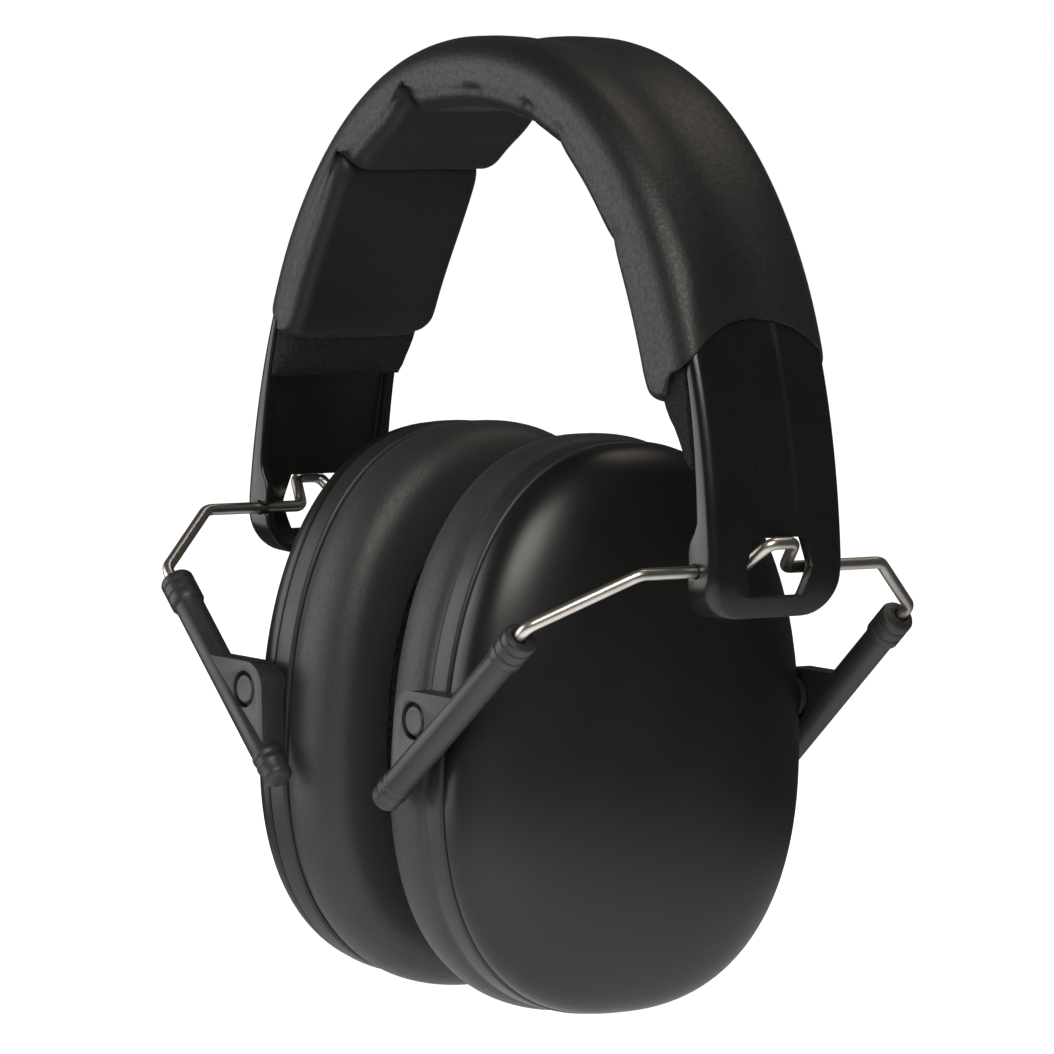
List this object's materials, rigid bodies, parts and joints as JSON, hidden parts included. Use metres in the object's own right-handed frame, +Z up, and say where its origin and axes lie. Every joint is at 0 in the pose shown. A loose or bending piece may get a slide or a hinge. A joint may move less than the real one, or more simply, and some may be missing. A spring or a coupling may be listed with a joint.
{
  "type": "hearing protection earmuffs",
  "caption": "Folding hearing protection earmuffs: padded arch headband, spring wire yokes with slide tubes, and oval tilting ear cups with soft cushions.",
  "frame": {"origin": "midway between the ear cups, on the line that joins their pivots, which is where a wearer's head holds the object", "axes": "+X towards the left cup, +Y towards the back of the head, +Z up to the crown of the headband"},
  "size_m": [0.1486, 0.094, 0.1765],
  "materials": {
    "band_plastic": "semi-gloss black moulding",
    "leatherette": "satin black leatherette with a fine grain",
    "foam": "open-cell black foam",
    "spring_steel": "bright drawn wire",
    "slide_plastic": "matte black moulding",
    "shell_plastic": "satin black moulding"
  },
  "bodies": {
    "headband": {"headband_band": "band_plastic", "headband_foam": "foam", "headband_cover": "leatherette"},
    "left_yoke": {"left_wire_yoke": "spring_steel"},
    "left_slides": {"left_front_slide_tube": "slide_plastic", "left_front_pivot_rivet": "slide_plastic", "left_rear_slide_tube": "slide_plastic", "left_rear_pivot_rivet": "slide_plastic"},
    "left_cup": {"left_cup_shell": "shell_plastic", "left_acoustic_foam": "foam", "left_cup_base_ring": "slide_plastic", "left_cushion_seat": "slide_plastic", "left_cushion_foam": "foam", "left_cushion_skin": "leatherette"},
    "right_yoke": {"right_wire_yoke": "spring_steel"},
    "right_slides": {"right_front_slide_tube": "slide_plastic", "right_front_pivot_rivet": "slide_plastic", "right_rear_slide_tube": "slide_plastic", "right_rear_pivot_rivet": "slide_plastic"},
    "right_cup": {"right_cup_shell": "shell_plastic", "right_acoustic_foam": "foam", "right_cup_base_ring": "slide_plastic", "right_cushion_seat": "slide_plastic", "right_cushion_foam": "foam", "right_cushion_skin": "leatherette"}
  },
  "joints": [
    {"name": "left_yoke_fold", "type": "hinge", "parent": "headband", "child": "left_yoke", "pos_m": [0.0675, 0, 0.0289], "axis": [0, 1, 0], "range_deg": [0, 60]},
    {"name": "left_height_slide", "type": "slide", "parent": "left_yoke", "child": "left_slides", "axis": [0.7547, 0, 0.6561], "range_m": [-0.0028, 0]},
    {"name": "left_cup_swivel", "type": "hinge", "parent": "left_slides", "child": "left_cup", "pos_m": [0.0267, 0, 0], "axis": [0, 1, 0], "range_deg": [-60, 0]},
    {"name": "right_yoke_fold", "type": "hinge", "parent": "headband", "child": "right_yoke", "pos_m": [-0.0675, 0, 0.0289], "axis": [0, 1, 0], "range_deg": [-60, 0]},
    {"name": "right_height_slide", "type": "slide", "parent": "right_yoke", "child": "right_slides", "axis": [0.7547, 0, -0.6561], "range_m": [0, 0.0028]},
    {"name": "right_cup_swivel", "type": "hinge", "parent": "right_slides", "child": "right_cup", "pos_m": [-0.0267, 0, 0], "axis": [0, 1, 0], "range_deg": [0, 60]}
  ],
  "couplings": [
    {"joint": "left_cup_swivel", "follows": "left_yoke_fold", "ratio": -1},
    {"joint": "right_cup_swivel", "follows": "right_yoke_fold", "ratio": -1}
  ]
}
